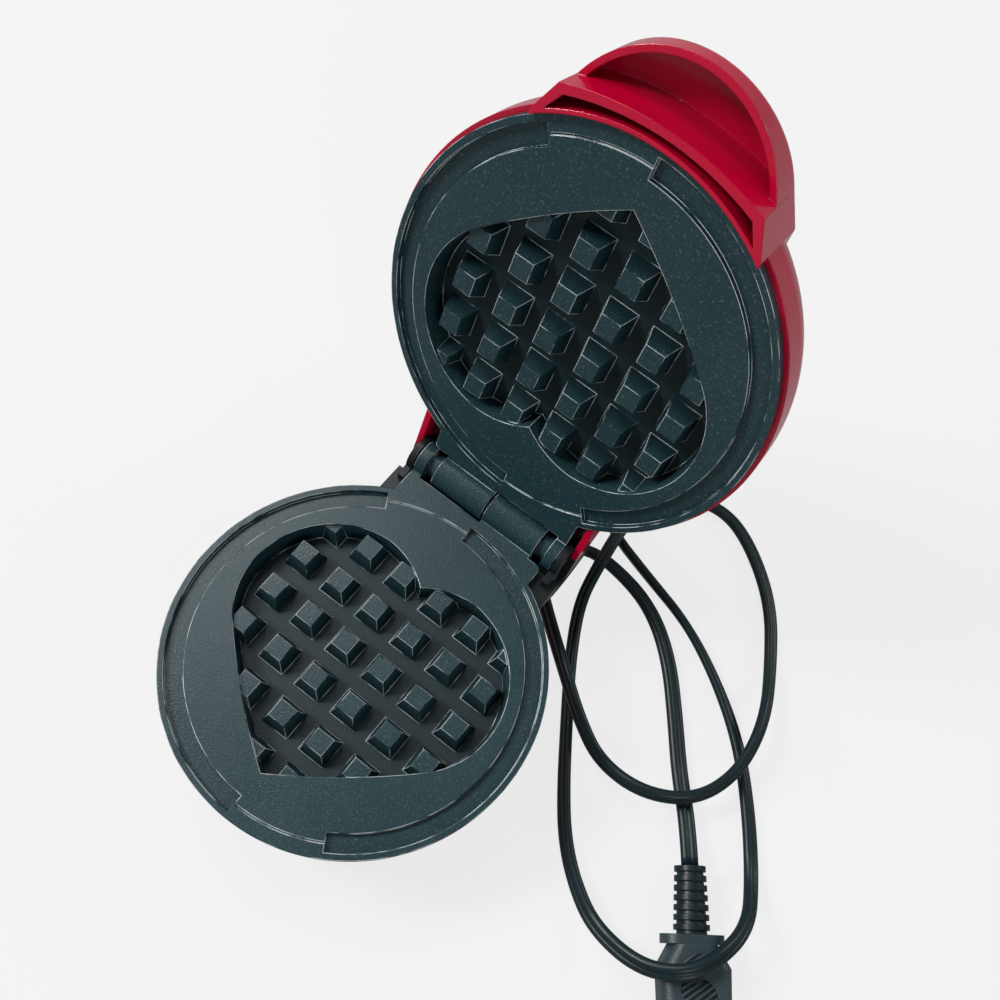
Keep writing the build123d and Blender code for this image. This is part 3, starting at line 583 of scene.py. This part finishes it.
class Bench:
    """One new piece, shaped with operators in edit mode and finished with applied modifiers."""

    def __init__(self, name: str) -> None:
        """Keeps the piece's name; a primitive comes next."""
        self.name = name
        self.piece: bpy.types.Object | None = None

    def start(self, primitive: str, turn: tuple = (0, 0, 0), **settings: float) -> None:
        """Adds a primitive and puts its turn into its mesh."""
        bpy.ops.object.select_all(action="DESELECT")
        getattr(bpy.ops.mesh, f"primitive_{primitive}_add")(rotation=turn, **settings)
        self.piece = bpy.context.object
        self.piece.name = self.name
        bpy.ops.object.transform_apply(location=True, rotation=True, scale=True)

    def pick(self, wanted: Callable) -> None:
        """Selects the faces whose centre and normal pass a test, and enters edit mode."""
        bpy.ops.object.mode_set(mode="EDIT")
        bpy.ops.mesh.select_mode(type="FACE")
        bpy.ops.mesh.select_all(action="DESELECT")
        mesh = bmesh.from_edit_mesh(self.piece.data)
        for face in mesh.faces:
            face.select_set(bool(wanted(face.calc_center_median(), face.normal)))
        bmesh.update_edit_mesh(self.piece.data)

    def leave(self) -> None:
        """Goes back to object mode."""
        bpy.ops.object.mode_set(mode="OBJECT")

    def modify(self, kind: str, **settings: float) -> None:
        """Adds a modifier and applies it."""
        modifier = self.piece.modifiers.new(kind.lower(), kind)
        for key, value in settings.items():
            setattr(modifier, key, value)
        bpy.ops.object.modifier_apply(modifier=modifier.name)

    def hand_over(self, book: FinishBook, finish: Finish, half: Half) -> bpy.types.Object:
        """Dresses the piece and ties it to its body."""
        bpy.ops.object.shade_smooth_by_angle(angle=math.radians(35))
        book.dress(self.piece, finish)
        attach(self.piece, half.value)
        log.info("%s with %d faces", self.name, len(self.piece.data.polygons))
        return self.piece


@dataclass
class HingeTrim:
    """A black sheet of painted shade under the barrels, where the hinge gap lies in shade, and black lips
    over the trough's ends.
    """

    # Painted shade: the spans, radius, thickness and end angle below shape the black sheet under the
    # barrels.
    shade_sheet_spans: tuple = ((-24.2, -0.1, 204), (-28.2, -24.4, 211), (20.8, 28.2, 204))
    shade_sheet_r: float = 6.4 * MM
    shade_sheet_t: float = 0.35 * MM
    shade_sheet_end: float = 350
    lip_r: float = 13.7 * MM
    lip_t: float = 1.7 * MM
    lip_x: tuple = (29.8, 33.3)
    lip_arc: tuple = (220, 320)
    facets: int = 90

    def arc(
        self, book: FinishBook, name: str, span: tuple, radius: float, thickness: float, turn: tuple
    ) -> None:
        """Makes one curved strip about the hinge axis.

        Args:
            book: The finishes.
            name: The piece's name.
            span: The strip's ends along the axis, in millimetres.
            radius: Its inner radius.
            thickness: Its thickness outwards.
            turn: Its ends round the axis, in degrees from +Y towards +Z.
        """
        bench = Bench(name)
        middle = HINGE + Vector(((span[0] + span[1]) / 2 * MM, 0, 0))
        length = (span[1] - span[0]) * MM
        bench.start(
            "cylinder",
            (0, math.pi / 2, 0),
            vertices=self.facets,
            radius=radius,
            depth=length,
            end_fill_type="NOTHING",
            location=middle,
        )

        def outside(centre: Vector, _normal: Vector) -> bool:
            """Tells whether a face lies past the strip's ends."""
            angle = math.degrees(math.atan2(centre.z - HINGE.z, centre.y - HINGE.y)) % 360
            return not turn[0] < angle < turn[1]

        bench.pick(outside)
        bpy.ops.mesh.delete(type="FACE")
        bench.leave()
        bench.modify("SOLIDIFY", thickness=thickness, offset=1.0)
        bench.modify("BEVEL", width=min(thickness, 1 * MM) / 4, segments=2, limit_method="ANGLE")
        bench.hand_over(book, Finish.BRACKET, Half.BASE)

    def build(self, book: FinishBook) -> None:
        """Makes the shade sheet's strips and the two lips."""
        # Painted shade: each strip is a black sheet under the barrels, standing in for the shade in the
        # hinge gap.
        for number, (left, right, begin) in enumerate(self.shade_sheet_spans, 1):
            turn = (begin, self.shade_sheet_end)
            self.arc(book, f"hinge_shade_sheet_{number}", (left, right), self.shade_sheet_r, self.shade_sheet_t, turn)
        near, far = self.lip_x
        self.arc(book, "trough_lip_left", (-far, -near), self.lip_r, self.lip_t, self.lip_arc)
        self.arc(book, "trough_lip_right", (near, far), self.lip_r, self.lip_t, self.lip_arc)


@dataclass(frozen=True)
class GripPatch:
    """A field of slanted ribs on the plug's face, trimmed to an outline."""

    name: str
    along: float
    half: tuple
    low: float
    high: float
    sides: int
    pitch: float = 1.7 * MM
    rib: float = 0.8 * MM
    slant: float = math.radians(35)

    def build(self, book: FinishBook) -> bpy.types.Object:
        """Lays long ribs side by side, turns them and cuts them to the outline."""
        bench = Bench(self.name)
        middle = PLUG_START + PLUG_ALONG * self.along
        middle.z = (self.low + self.high) / 2
        across = Vector((-PLUG_ALONG.y, PLUG_ALONG.x, 0))
        reach = 2 * max(self.half)
        count = int(2 * reach / self.pitch)
        edge = middle + Vector((-count * self.pitch / 2, 0, 0))
        bench.start("cube", size=1, location=edge)
        bench.pick(lambda _centre, _normal: True)
        bpy.ops.transform.resize(value=(self.rib, 2 * reach, self.high - self.low), center_override=edge)
        for _ in range(count):
            bpy.ops.mesh.duplicate_move(TRANSFORM_OT_translate={"value": (self.pitch, 0, 0)})
        bpy.ops.mesh.select_all(action="SELECT")
        turn = math.atan2(PLUG_ALONG.y, PLUG_ALONG.x) + self.slant
        bpy.ops.transform.rotate(value=-turn, orient_axis="Z", center_override=middle)
        for side in range(self.sides):
            angle = 2 * math.pi * side / self.sides
            out = PLUG_ALONG * math.cos(angle) + across * math.sin(angle)
            distance = math.hypot(self.half[0] * math.cos(angle), self.half[1] * math.sin(angle))
            bpy.ops.mesh.select_all(action="SELECT")
            cut = middle + out * distance
            bpy.ops.mesh.bisect(plane_co=cut, plane_no=out, use_fill=True, clear_outer=True)
        bench.leave()
        bench.modify("BEVEL", width=0.15 * MM, segments=2, limit_method="ANGLE")
        return bench.hand_over(book, Finish.PLUG, Half.BASE)


@dataclass
class PlugGrip:
    """The two rib fields on the plug: an oval behind its flange and a square one in its hollow."""

    patches: tuple = (
        GripPatch("plug_grip_oval", 29.3 * MM, (2.9 * MM, 4.9 * MM), 12.2 * MM, 13.4 * MM, 16),
        GripPatch("plug_grip_square", 38.3 * MM, (3.2 * MM, 5.6 * MM), 11.9 * MM, 13.15 * MM, 4),
    )

    def build(self, book: FinishBook) -> list[bpy.types.Object]:
        """Makes both fields."""
        return [patch.build(book) for patch in self.patches]


@dataclass
class Appliance:
    """The CAD nodes and the finish of each."""

    finishes: dict = field(
        default_factory=lambda: {
            Finish.LOWER_PLATE: ["lower_plate"],
            Finish.UPPER_PLATE: ["upper_plate"],
            Finish.RED_BASE: ["base_housing"],
            Finish.RED_LID: ["lid_housing"],
            Finish.BRACKET: ["hinge_bracket"],
            Finish.COVER: ["bottom_cover"],
            Finish.RUBBER: [f"foot_{end}_{side}" for end in ("front", "rear") for side in ("left", "right")],
            Finish.CORD: ["cord_boot", "plug_relief"],
            Finish.PLUG: ["plug_body"],
            Finish.ALUMINIUM: ["lower_reflector", "upper_reflector", "thermostat", "thermal_fuse"],
            Finish.ELEMENT: ["lower_element", "upper_element"],
            Finish.SCREW: ["lower_pan_screws", "upper_pan_screws", "cover_screws", "bracket_screws"],
            Finish.PIN: ["hinge_pin"],
            Finish.BLOCK: ["terminal_block"],
            Finish.BLADE: ["plug_blades"],
            Finish.LENS: ["indicator_lens"],
            Finish.LAMP: ["indicator_lamp"],
        }
    )

    def build(self, book: FinishBook) -> None:
        """Dresses every CAD node."""
        for finish, names in self.finishes.items():
            for name in names:
                book.dress(NODES[name], finish)
            log.info("%s on %s", finish.value.name, ", ".join(names))


@dataclass
class Studio:
    """A pale table, a dim surround and soft lamps over the object."""

    ground: tuple = (0.896, 0.896, 0.896, 1)
    glow_share: float = 0.87
    reflected: tuple = (0.34, 0.35, 0.36, 1)
    surround: tuple = (0.9, 0.95, 1.0, 1)
    surround_strength: float = 0.28
    aim: tuple = (0.03, 0.02, 0.05)
    size: float = 6.0
    lamps: list = field(
        default_factory=lambda: [
            ("key", (-1.15, -0.45, 1.15), 0.45, 26.0),
            ("top", (-0.95, 0.45, 1.6), 0.7, 14.0),
            ("fill", (1.2, -0.9, 1.0), 0.5, 7.0),
            ("rim", (0.9, 1.3, 0.9), 0.35, 6.0),
        ]
    )

    def build(self) -> None:
        """Makes the table, the lamps and the world."""
        bpy.ops.object.select_all(action="DESELECT")
        bpy.ops.mesh.primitive_plane_add(size=self.size)
        table = bpy.context.object
        table.name = "table"
        table.data.materials.append(self.table_material())
        for name, at, size, power in self.lamps:
            data = bpy.data.lights.new(name, "AREA")
            data.shape = "SQUARE"
            data.size = size
            data.energy = power
            lamp = bpy.data.objects.new(name, data)
            bpy.context.collection.objects.link(lamp)
            lamp.location = at
            lamp.rotation_euler = (Vector(self.aim) - Vector(at)).to_track_quat("-Z", "Y").to_euler()
        self.world()
        log.info("studio with %d lamps", len(self.lamps))

    def table_material(self) -> bpy.types.Material:
        """Table that keeps the object's shadow, near its own pale colour, and is dim in reflections."""
        shader = Shader("table")
        shader.shine(Base_Color=(0.66, 0.66, 0.66, 1), Roughness=0.6, Specular_IOR_Level=0.0)
        ray = shader.node("ShaderNodeLightPath", {}, {}, "Is Glossy Ray")
        glow = shader.node("ShaderNodeEmission", {}, {"Color": self.ground, "Strength": 1.0})
        dim = shader.node("ShaderNodeEmission", {}, {"Color": self.reflected, "Strength": 1.0})
        pale = shader.node("ShaderNodeMixShader", {}, {0: self.glow_share, 2: glow})
        shader.tree.links.new(shader.principled.outputs[0], pale.socket.node.inputs[1])
        seen = shader.node("ShaderNodeMixShader", {}, {0: ray, 1: pale, 2: dim})
        end = shader.tree.nodes["Material Output"]
        shader.tree.links.new(seen.socket, end.inputs["Surface"])
        return shader.material

    def world(self) -> None:
        """Even grey surround that lights the object softly."""
        world = bpy.data.worlds.new("surround")
        bpy.context.scene.world = world
        world.use_nodes = True
        back = world.node_tree.nodes["Background"]
        back.inputs["Color"].default_value = self.surround
        back.inputs["Strength"].default_value = self.surround_strength


def main() -> None:
    """Builds the camera, the added pieces, the finishes and the studio in order."""
    logging.basicConfig(level=logging.INFO, format="%(message)s")
    bpy.context.scene.view_settings.view_transform = "Standard"
    Camera().build()
    book = FinishBook()
    MainsLead().build(book, PlugGrip().build(book))
    Appliance().build(book)
    HingeTrim().build(book)
    Studio().build()


if __name__ == "__main__":
    main()
